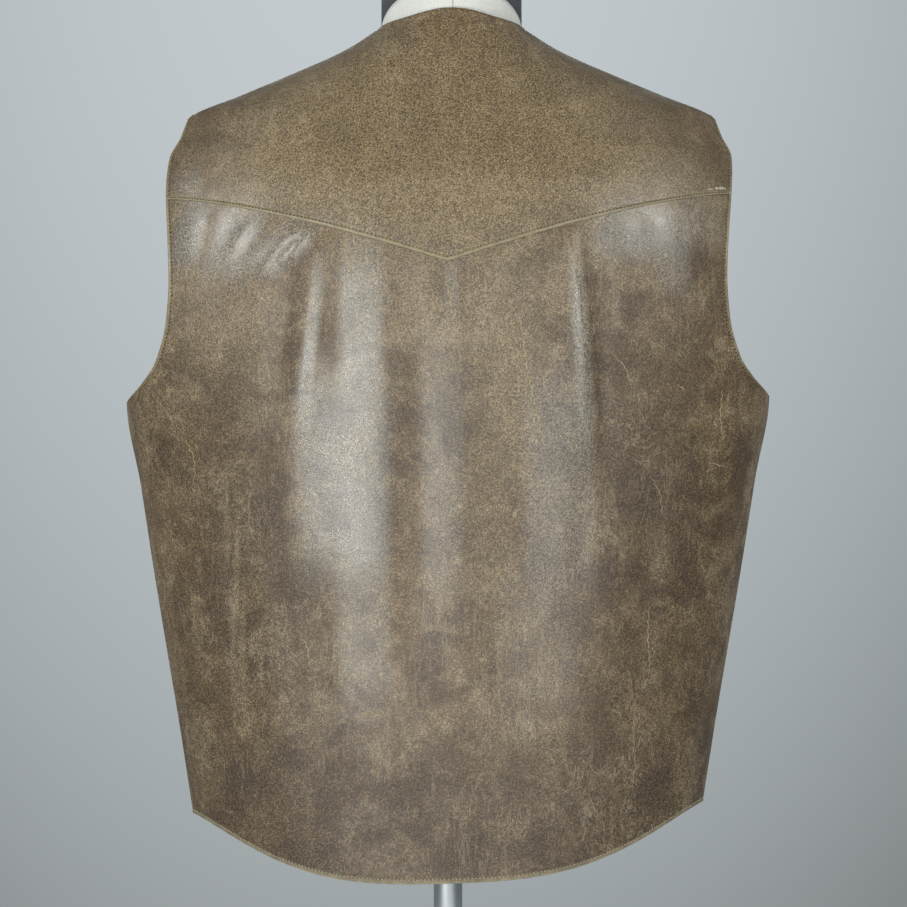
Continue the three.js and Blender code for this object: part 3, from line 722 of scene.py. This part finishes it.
def scratch_piece(name, paths, lift, material):
    """Shallow tapering scratches that run through places on the back."""
    points, faces = [], []
    for width, *places in paths:
        x, level = np.array(places, float).T
        walked = walk(np.hypot(np.diff(x), np.diff(level)))
        count = max(8, int(walked[-1] / SCRATCH_STEP))
        at = np.linspace(0, walked[-1], count)
        waver = 0.5 * np.sin(at * 0.9) + 0.3 * np.sin(at * 2.3 + 1)
        line = np.stack([np.interp(at, walked, x) + waver, np.interp(at, walked, level)])
        ahead = np.gradient(line, axis=1)
        beside = np.stack([ahead[1], -ahead[0]]) / np.hypot(*ahead)
        taper = np.sqrt(np.sin(math.pi * np.linspace(0.02, 0.98, count)))
        half = width / 2 * taper * (0.75 + 0.25 * np.sin(at * 1.7))
        strip = np.stack([line - beside * half, line, line + beside * half], axis=1)
        face = on_vest("back", strip[0], strip[1])
        step = 0.5
        up = on_vest("back", strip[0], strip[1] + step) - face
        across = on_vest("back", strip[0] + step, strip[1]) - face
        outward = unit(np.cross(up, across))
        face = face + outward * (lift + HIDE_THICKNESS + SCRATCH_HEIGHTS[:, None, None])
        base = len(points)
        points.extend(face.transpose(1, 0, 2).reshape(-1, 3))
        for i in range(count - 1):
            a = base + 3 * i
            faces.extend([(a, a + 1, a + 4, a + 3), (a + 1, a + 2, a + 5, a + 4), (a, a + 3, a + 5, a + 2)])
        last = base + 3 * count - 3
        faces.extend([(base, base + 2, base + 1), (last, last + 1, last + 2)])
    return new_piece(name, points, faces, material)


def side_path(sheet, name, first, last):
    """The stitch line along the left or right edge of a sheet, between two rows."""
    column = SIDE_STITCH_LINE if name == "left" else -1 - SIDE_STITCH_LINE
    return sheet["outer"][first:last, column], sheet["outward"][first:last, column]


def bottom_path(sheet):
    """The stitch line along the bottom edge of a sheet."""
    columns = slice(STITCH_LINE, -STITCH_LINE)
    return sheet["outer"][STITCH_LINE, columns], sheet["outward"][STITCH_LINE, columns]


def row_above(sheet, side, level):
    """The first row of a sheet whose edge at one side is above a level."""
    return int(np.argmax(sheet["level"][:, -1 if side == "right" else 0] > level))


def rows_of_stitches(sheets):
    """The stitch rows on each panel, by panel and by thread."""
    body, yoke = sheets["back_body"], sheets["back_yoke"]
    arm = row_above(body, "left", UNDERARM + 3)
    end = row_above(body, "left", YOKE_END - 2)
    first, last = STITCH_LINE, -STITCH_LINE
    paths = {
        ("back_body", "hem"): [bottom_path(body)],
        ("back_body", "tan"): [side_path(body, side, arm, end) for side in ("left", "right")],
        ("back_yoke", "tan"): [
            bottom_path(yoke), *(side_path(yoke, side, first, last) for side in ("left", "right")),
        ],
    }
    for name, inner, outer in (("front_left", "left", "right"), ("front_right", "right", "left")):
        front = sheets[name]
        arm = row_above(front, outer, UNDERARM + 3)
        paths[name, "tan"] = [side_path(front, inner, first, last), side_path(front, outer, arm, last)]
        paths[name, "hem"] = [bottom_path(front)]
    return {key: [stitch_row(*path) for path in found] for key, found in paths.items()}


def ring_points(ring, segments):
    """One closed outline of the dress form, from the middle of its back round by -X."""
    angle = 2 * math.pi * np.arange(segments) / segments
    fullness = np.clip(1 - np.abs(np.sin(angle)) ** ring["square"], 0, None) ** ring["corner"]
    behind = np.cos(angle) >= 0
    y = np.where(behind, ring["back"], -ring["front"]) * fullness
    climb = np.where(behind, ring["rise"], -ring["drop"]) * fullness
    x = read(SECTIONS, "shift", ring["level"]) - ring["half_width"] * np.sin(angle)
    return np.stack([x, y, HEM_HEIGHT + ring["level"] + climb], axis=-1)


def loft(name, outlines, material):
    """A closed mesh through outlines of the same number of points."""
    segments = len(outlines[0])
    points = np.concatenate(outlines + [[outlines[0].mean(axis=0)], [outlines[-1].mean(axis=0)]])
    bottom, top = len(points) - 2, len(points) - 1
    faces = []
    for i in range(segments):
        j = (i + 1) % segments
        for k in range(len(outlines) - 1):
            a, b = k * segments + i, k * segments + j
            faces.append((a, b, b + segments, a + segments))
        last = (len(outlines) - 1) * segments
        faces.append((bottom, j, i))
        faces.append((top, last + i, last + j))
    return new_piece(name, points, faces, material)


def form_ring(level):
    """A row of the form's table at any level."""
    return {name: read(FORM_RINGS, name, level) for name in FORM_RINGS} | {"level": level}


def form_torso(material):
    edge = FORM_BOTTOM + np.array(FORM_EDGE)
    levels = np.concatenate([
        edge,
        np.linspace(edge[-1], FORM_SHOULDER, 81)[1:],
        np.linspace(FORM_SHOULDER, FORM_TOP, 56)[1:],
    ])
    return loft("torso_cover", [ring_points(form_ring(level), FORM_SIDES) for level in levels], material)


def neck_cap(material):
    outlines = []
    for above, share in CAP_RINGS:
        ring = form_ring(FORM_TOP)
        for name in ("half_width", "back", "front", "rise", "drop"):
            ring[name] = ring[name] * share
        ring["level"] = FORM_TOP + above
        outlines.append(ring_points(ring, CAP_SIDES))
    return loft("neck_cap_shell", outlines, material)


def turned_outlines(profile, segments):
    """Rings of a shape turned about +Z from its profile of radius and height."""
    angle = 2 * math.pi * np.arange(segments) / segments
    circle = np.stack([np.cos(angle), np.sin(angle), np.zeros(segments)], axis=-1)
    return [circle * radius + np.array([0, 0, height]) for radius, height in profile]


def pole(material):
    bottom = HUB_FLOOR + CLEARANCE
    top = HEM_HEIGHT + FORM_BOTTOM + SOCKET_DEPTH - CLEARANCE
    narrow = POLE_RADIUS - 1
    profile = [(narrow, bottom), (POLE_RADIUS, bottom + 1), (POLE_RADIUS, top - 1), (narrow, top)]
    return loft("stand_pole", turned_outlines(profile, POLE_SIDES), material)


def base(material):
    bore = POLE_RADIUS + CLEARANCE
    wide, high = HUB_FILLET
    hub_foot = [
        (HUB_RADIUS + wide * (1 - math.sin(a)), BASE_CROWN + 1 + high * (1 - math.cos(a)))
        for a in np.linspace(0, math.pi / 2, 7)
    ]
    profile = [
        (BASE_RADIUS - 1.4, 0), (BASE_RADIUS - 0.4, 0.4), (BASE_RADIUS, 1.4), (BASE_RADIUS, BASE_RIM - 3),
        (BASE_RADIUS - 0.6, BASE_RIM - 1.4), (BASE_RADIUS - 2, BASE_RIM - 0.3), (BASE_RADIUS - 4, BASE_RIM),
        *[(BASE_RADIUS * out, mix(BASE_RIM, BASE_CROWN, up)) for out, up in BASE_DOME],
        (HUB_RADIUS + 12, BASE_CROWN),
        *hub_foot,
        (HUB_RADIUS, HUB_HEIGHT - 2), (HUB_RADIUS - 0.6, HUB_HEIGHT - 0.6), (HUB_RADIUS - 2, HUB_HEIGHT),
        (bore + 0.6, HUB_HEIGHT), (bore, HUB_HEIGHT - 0.6), (bore, HUB_FLOOR),
    ]
    return loft("stand_base", turned_outlines(profile, STAND_SIDES), material)


def snap(index, level, material):
    """A domed snap cap with a rolled rim, seated on the left front's lap."""
    profile = [(SNAP_RADIUS * share, height) for share, height in SNAP_OUTLINE]
    low, seat, high = on_vest("front", np.zeros(3), level + np.array([-10.0, 0, 10]))
    normal = unit(np.cross([1.0, 0, 0], high - low))
    upward = np.cross(normal, [1.0, 0, 0])
    turn = np.array([[1.0, 0, 0], upward, normal])
    seat = seat + normal * (LAP_LIFT + HIDE_THICKNESS + SEAM_GAP)
    outlines = [outline @ turn + seat for outline in turned_outlines(profile, SNAP_SIDES)]
    return loft(f"snap_cap_{index}", outlines, material)


def paint(red, green, blue):
    """The linear colour of an 8-bit screen colour."""
    return tuple(((v / 255 + 0.055) / 1.055) ** 2.4 for v in (red, green, blue)) + (1,)


class Nodes:
    """A node tree, whose nodes are each added by a short call that gives back an output."""

    def __init__(self, tree):
        self.tree = tree

    def add(self, kind, settings=None, sockets=None, output=0):
        node = self.tree.nodes.new("ShaderNode" + kind)
        for name, value in (settings or {}).items():
            setattr(node, name, value)
        for key, value in (sockets or {}).items():
            self.feed(node.inputs[key], value)
        return node.outputs[output]

    def feed(self, socket, value):
        if isinstance(value, bpy.types.NodeSocket):
            self.tree.links.new(value, socket)
        else:
            socket.default_value = value

    def math(self, operation, a, b=0):
        return self.add("Math", {"operation": operation}, {0: a, 1: b})

    def times(self, a, b):
        return self.math("MULTIPLY", a, b)

    def span(self, value, low, high, start=0, end=1):
        sockets = {"Value": value, "From Min": low, "From Max": high, "To Min": start, "To Max": end}
        return self.add("MapRange", {"interpolation_type": "SMOOTHSTEP"}, sockets)


class Look(Nodes):
    """A material's nodes."""

    def __init__(self, name):
        self.material = bpy.data.materials.new(name)
        self.material.use_nodes = True
        super().__init__(self.material.node_tree)
        self.surface = self.tree.nodes["Principled BSDF"]
        self.place = self.add("TexCoord", output="Object")

    def finish(self, **sockets):
        for name, value in sockets.items():
            self.feed(self.surface.inputs[name.replace("_", " ")], value)
        return self.material

    def stretched(self, x, y, z):
        return self.add("Mapping", sockets={"Vector": self.place, "Scale": (x, y, z)})

    def noise(self, scale, detail=4, rough=0.55, twist=0, place=None):
        sockets = {"Vector": place or self.place, "Scale": scale, "Detail": detail}
        return self.add("TexNoise", sockets=sockets | {"Roughness": rough, "Distortion": twist})

    def cell_edges(self, scale, place):
        return self.add("TexVoronoi", {"feature": "DISTANCE_TO_EDGE"}, {"Vector": place, "Scale": scale})

    def blend(self, share, a, b):
        return self.add("Mix", {"data_type": "RGBA"}, {0: share, 6: a, 7: b}, 2)

    def attribute(self, name):
        return self.add("Attribute", {"attribute_name": name}, output="Fac")

    def thin_lines(self, value, middle, width):
        """1 where a noise crosses a value, fading to 0 at a width to each side."""
        distance = self.math("ABSOLUTE", self.math("SUBTRACT", value, middle))
        return self.span(distance, 0, width, 1, 0)

    def bump(self, height, distance, **more):
        return self.add("Bump", sockets={"Height": height, "Distance": distance, "Strength": 1} | more)


def hide_material(name):
    """Distressed brown hide: clouded colour, tan scuffs, fine pale scratches and a pebbled grain, with
    painted highlight on its glossier spots, painted shade in its troughs and at its sides, and pale edges
    that are partly painted highlight.
    """
    look = Look(name)
    colour = {key: paint(*values) for key, values in HIDE_COLOURS.items()}
    attributes = ("gloss_and_painted_highlight", "painted_shade_and_dark_patches", "light", "turned", "sewn")
    gloss_and_painted_highlight, painted_shade_and_dark_patches, light, turned, sewn = (look.attribute(key) for key in attributes)
    blotch = look.noise(11, 3, 0.6)
    cloud = look.noise(34, 6, 0.68, 0.5)
    scuff = look.noise(85, 6, 0.72, 1)
    fleck = look.noise(740, 3, 0.7)
    drift = look.add("CombineXYZ", sockets={0: look.noise(300, 2), 1: fleck, 2: look.noise(260, 2)})
    wander = {0: drift, 1: (0.0022, 0.0022, 0.0022), 2: look.place}
    pebble = look.cell_edges(620, look.add("VectorMath", {"operation": "MULTIPLY_ADD"}, wander))

    body = look.blend(look.span(cloud, 0.36, 0.64), colour["deep"], colour["middle"])
    body = look.blend(look.span(blotch, 0.4, 0.6, 0, 0.5), body, colour["blotch"])
    tan = look.times(look.span(scuff, 0.48, 0.66), look.span(cloud, 0.42, 0.6))
    body = look.blend(look.times(tan, 0.7), body, colour["tan"])
    # Painted shade: troughs, sides and hem are darkened, with a few darker patches on the yoke
    body = look.blend(look.times(painted_shade_and_dark_patches, 0.6), body, colour["dark"])
    body = look.blend(look.times(light, 0.6), body, colour["light"])
    # Painted highlight: the glossier spots are paled towards grey
    body = look.blend(look.times(gloss_and_painted_highlight, 0.5), body, colour["gloss_and_painted_highlight"])
    grain = look.span(fleck, 0.38, 0.62, 0.54, 1.46)
    crevice = look.span(pebble, 0.0, 0.26, 0.46, 1.12)
    shade = look.times(grain, crevice)
    body = look.add("VectorMath", {"operation": "SCALE"}, {0: body, "Scale": shade})
    body = look.blend(look.times(look.span(fleck, 0.48, 0.66, 0, 0.3), crevice), body, colour["dust"])

    field = look.noise(26, 6, 0.62, 0.5, look.stretched(1.6, 1.6, 0.55))
    marks = look.math("MAXIMUM", look.thin_lines(field, 0.5, 0.009),
                      look.thin_lines(look.noise(48, 5, 0.62, 1.2), 0.52, 0.014))
    marks = look.times(marks, look.span(look.noise(17, 3, 0.6), 0.46, 0.6))
    streak = look.thin_lines(look.noise(1, 4, 0.6, 0.3, look.stretched(120, 120, 10)), 0.5, 0.02)
    streak = look.times(streak, look.span(look.noise(13, 2), 0.5, 0.62, 0, 0.5))
    marks = look.math("MAXIMUM", marks, streak)
    body = look.blend(look.times(marks, 0.5), body, colour["mark"])

    # Pale edges: partly worn hide and partly a painted highlight where the folded edges catch the light
    rim = look.math("MAXIMUM", look.span(turned, 0.5, 1.7, 1, 0), look.span(turned, 1.7, 5, 0.35, 0))
    worn = look.span(look.noise(140, 3), 0.35, 0.6, 0.65, 1)
    body = look.blend(look.times(rim, worn), body, colour["rim"])
    body = look.blend(look.span(sewn, 0.2, 1.6, 0.7, 0), body, colour["joint"])

    rough = look.span(cloud, 0.35, 0.65, 0.5, 0.43)
    rough = look.math("ADD", rough, look.span(scuff, 0.5, 0.7, 0, 0.08))
    rough = look.math("SUBTRACT", rough, look.times(gloss_and_painted_highlight, 0.19))
    rough = look.math("ADD", rough, look.times(painted_shade_and_dark_patches, 0.12))
    height = look.math("SUBTRACT", look.times(shade, 0.6), look.times(marks, 0.4))
    relief = look.bump(height, 0.00008, Normal=look.bump(look.noise(150, 4, 0.6), 0.00016))
    return look.finish(Base_Color=body, Roughness=rough, Normal=relief, Specular_IOR_Level=1)


def scuff_material(name, shade, pale):
    """Where the hide's surface is scratched through to its paler inside."""
    look = Look(name)
    tone = look.blend(look.span(look.noise(500, 3), 0.35, 0.65), shade, pale)
    return look.finish(Base_Color=tone, Roughness=0.7)


def thread_material(name, colour):
    look = Look(name)
    twist = look.noise(900, 2)
    tone = look.blend(look.span(twist, 0.35, 0.65, 0, 0.4), colour, paint(70, 56, 40))
    return look.finish(Base_Color=tone, Roughness=0.75, Normal=look.bump(twist, 0.0002))


def needle_hole_shade_material():
    look = Look("needle_hole_shade")
    # Painted shade: the disc is near black, as the shade inside a needle hole
    tone = look.blend(look.noise(600), paint(30, 23, 16), paint(48, 37, 26))
    return look.finish(Base_Color=tone, Roughness=0.9)


def jersey_material():
    """White stretch cover with fine ribs and a narrow seam down the middle of the back and front."""
    look = Look("form_jersey")
    x = look.add("SeparateXYZ", sockets={0: look.place})
    knit = look.add("TexWave", {"wave_type": "BANDS", "bands_direction": "X"},
                    {"Vector": look.place, "Scale": 160, "Distortion": 1.5, "Detail": 2, "Detail Scale": 4})
    cloud = look.noise(30, 3)
    tone = look.blend(look.span(cloud, 0.35, 0.7), paint(250, 251, 245), paint(240, 242, 236))
    tone = look.blend(look.times(knit, 0.12), tone, paint(196, 199, 196))
    seam = look.thin_lines(x, -0.0037, 0.0007)
    tone = look.blend(look.times(seam, 0.6), tone, paint(150, 152, 150))
    height = look.math("SUBTRACT", look.times(knit, 0.2), seam)
    return look.finish(Base_Color=tone, Roughness=0.86, Normal=look.bump(height, 0.0004), Sheen_Weight=0.15)


def cap_material():
    look = Look("cap_plastic")
    grain = look.noise(700, 3)
    tone = look.blend(look.noise(60, 3), paint(78, 82, 86), paint(90, 94, 98))
    rough = look.span(look.noise(90, 3), 0.3, 0.7, 0.42, 0.55)
    return look.finish(Base_Color=tone, Roughness=rough, Normal=look.bump(grain, 0.00008))


def steel_material():
    """Satin steel, brushed round the axis, with faint smudges."""
    look = Look("satin_steel")
    brushed = look.noise(1, 3, 0.6, 0, look.stretched(30, 30, 1800))
    smudge = look.noise(28, 4, 0.6)
    tone = look.blend(look.span(smudge, 0.35, 0.7), paint(192, 197, 200), paint(208, 212, 214))
    rough = look.math("ADD", look.span(smudge, 0.3, 0.7, 0.46, 0.56), look.times(brushed, 0.1))
    return look.finish(Base_Color=tone, Roughness=rough, Normal=look.bump(brushed, 0.00003), Metallic=1)


def brass_material():
    """Antique brass: dark in its hollows, worn bright on its crown."""
    look = Look("antique_brass")
    tarnish = look.noise(420, 4, 0.65)
    tone = look.blend(look.span(tarnish, 0.38, 0.62), paint(92, 74, 44), paint(170, 142, 88))
    rough = look.span(tarnish, 0.35, 0.65, 0.48, 0.3)
    return look.finish(Base_Color=tone, Roughness=rough, Normal=look.bump(tarnish, 0.00006), Metallic=1)


def floor_material():
    """Pale floor that fades out to the backdrop around the stand."""
    look = Look("pale_floor")
    distance = look.add("VectorMath", {"operation": "LENGTH"}, {0: look.place}, "Value")
    tone = look.blend(look.noise(8, 3), paint(178, 186, 191), paint(184, 191, 196))
    return look.finish(Base_Color=tone, Roughness=0.6, Alpha=look.span(distance, 0.75, 1.3, 1, 0))


def soft_box(name, azimuth, elevation, distance, width, height, watts):
    """A soft box that the camera doesn't see, turned towards the vest."""
    data = bpy.data.lights.new(name, "AREA")
    data.shape = "RECTANGLE"
    data.size = width
    data.size_y = height
    data.energy = watts
    data.color = BOX_COLOUR
    turn, lift = math.radians(azimuth), math.radians(elevation)
    place = (
        distance * math.sin(turn) * math.cos(lift),
        distance * math.cos(turn) * math.cos(lift),
        distance * math.sin(lift) + BOX_AIM[2],
    )
    aside, ahead, up = np.array(BOX_AIM, float) - np.array(place, float)
    made = new_object(name, data)
    made.location = place
    made.rotation_euler = (
        math.atan2(math.hypot(aside, ahead), -up), 0, math.atan2(ahead, aside) - math.pi / 2,
    )
    made.visible_camera = False


def backdrop():
    """A pale blue-grey world: lightest above the middle, darker low down and behind the camera."""
    world = bpy.data.worlds.new("backdrop")
    world.use_nodes = True
    bpy.context.scene.world = world
    sky = Nodes(world.node_tree)
    direction = sky.add("TexCoord", output="Generated")
    x, y, z = (sky.add("SeparateXYZ", sockets={0: direction}, output=axis) for axis in "XYZ")
    aside = sky.math("SUBTRACT", x, BACKDROP_ASIDE)
    above = sky.math("SUBTRACT", z, BACKDROP_ABOVE)
    fall = sky.times(sky.times(aside, aside), BACKDROP_SIDE_FALL)
    drop = sky.times(sky.times(above, above), BACKDROP_LOW_FALL)
    strength = sky.math("SUBTRACT", sky.math("SUBTRACT", BACKDROP_PEAK, fall), drop)
    strength = sky.math("MAXIMUM", strength, BACKDROP_LEAST)
    strength = sky.times(strength, sky.span(y, *BACKDROP_TURN, 1, BACKDROP_BEHIND))
    surface = sky.tree.nodes["Background"]
    sky.feed(surface.inputs["Color"], BACKDROP_COLOUR)
    sky.feed(surface.inputs["Strength"], strength)


def studio():
    """Soft boxes round the back view's camera, high ones at its sides and one before the vest's front."""
    bpy.context.scene.view_settings.view_transform = "Standard"
    for row in SOFT_BOXES:
        soft_box(*row)
    backdrop()


def floor():
    profile = [(FLOOR_RADIUS, -3), (FLOOR_RADIUS, -0.6), (FLOOR_RADIUS - 2, -0.4)]
    made = loft("floor", turned_outlines(profile, 96), floor_material())


def camera():
    data = bpy.data.cameras.new("camera")
    half_angle = PHOTO_SIDE / 2 * PIXEL / CAMERA_DISTANCE
    data.sensor_fit = "HORIZONTAL"
    data.sensor_width = SENSOR
    data.lens = SENSOR / 2 / half_angle
    made = new_object("camera", data)
    aside = (CENTRE_COLUMN - PHOTO_SIDE / 2) * PIXEL
    made.location = np.array([aside, CAMERA_DISTANCE, CAMERA_HEIGHT]) * METRE
    made.rotation_euler = (math.pi / 2, 0, math.pi)
    bpy.context.scene.camera = made


camera()
studio()
floor()

hide = hide_material("distressed_hide")
tan_thread = thread_material("tan_thread", paint(172, 156, 118))
pale_thread = thread_material("pale_thread", paint(196, 188, 160))
hole = needle_hole_shade_material()
jersey = jersey_material()
steel = steel_material()
brass = brass_material()

sheets = {
    "back_body": back_body_sheet(),
    "back_yoke": back_yoke_sheet(),
    "front_left": front_sheet(1),
    "front_right": front_sheet(-1),
}
pieces = {}
for node, sheet in sheets.items():
    pieces[node] = hide_piece(f"{node}_hide", sheet, hide)
    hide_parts(node)

for (node, kind), rows in rows_of_stitches(sheets).items():
    thread = thread_piece(f"{node}_{kind}_stitches", rows, pale_thread if kind == "hem" else tan_thread)
    holes = hole_piece(f"{node}_{kind}_needle_holes", rows, hole)
    for made in (thread, holes):
        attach(made, "root")

scratched = scuff_material("scratched_hide", paint(160, 141, 102), paint(202, 187, 150))
rubbed = scuff_material("rubbed_hide", paint(176, 164, 134), paint(232, 226, 208))
for node, paths, lift, material in (
    ("back_body", SCRATCHES, 0, scratched),
    ("back_yoke", YOKE_SCRATCHES, LAP_LIFT, rubbed),
):
    scratches = scratch_piece(f"{node}_scratches", paths, lift, material)
    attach(scratches, "root")

for index, level in enumerate(SNAP_LEVELS, start=1):
    cap = snap(index, level, brass)
    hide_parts(f"snap_{index}")
    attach(cap, "root")

for made, node, slot in (
    (form_torso(jersey), "form_torso", "form_cloth"),
    (neck_cap(cap_material()), "form_neck_cap", "neck_cap"),
    (pole(steel), "form_pole", "stand"),
    (base(steel), "form_base", "stand"),
):
    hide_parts(node)
    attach(made, "root")

# Each panel's flat cut: its width and length in metres, and its area in square metres
CUTS = {
    "back_body": (0.62, 0.52, 0.26),
    "back_yoke": (0.52, 0.19, 0.08),
    "front_left": (0.33, 0.68, 0.15),
    "front_right": (0.33, 0.68, 0.15),
}
for node, (width, length, area) in CUTS.items():
    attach(pieces[node], "root")

bpy.context.view_layer.update()
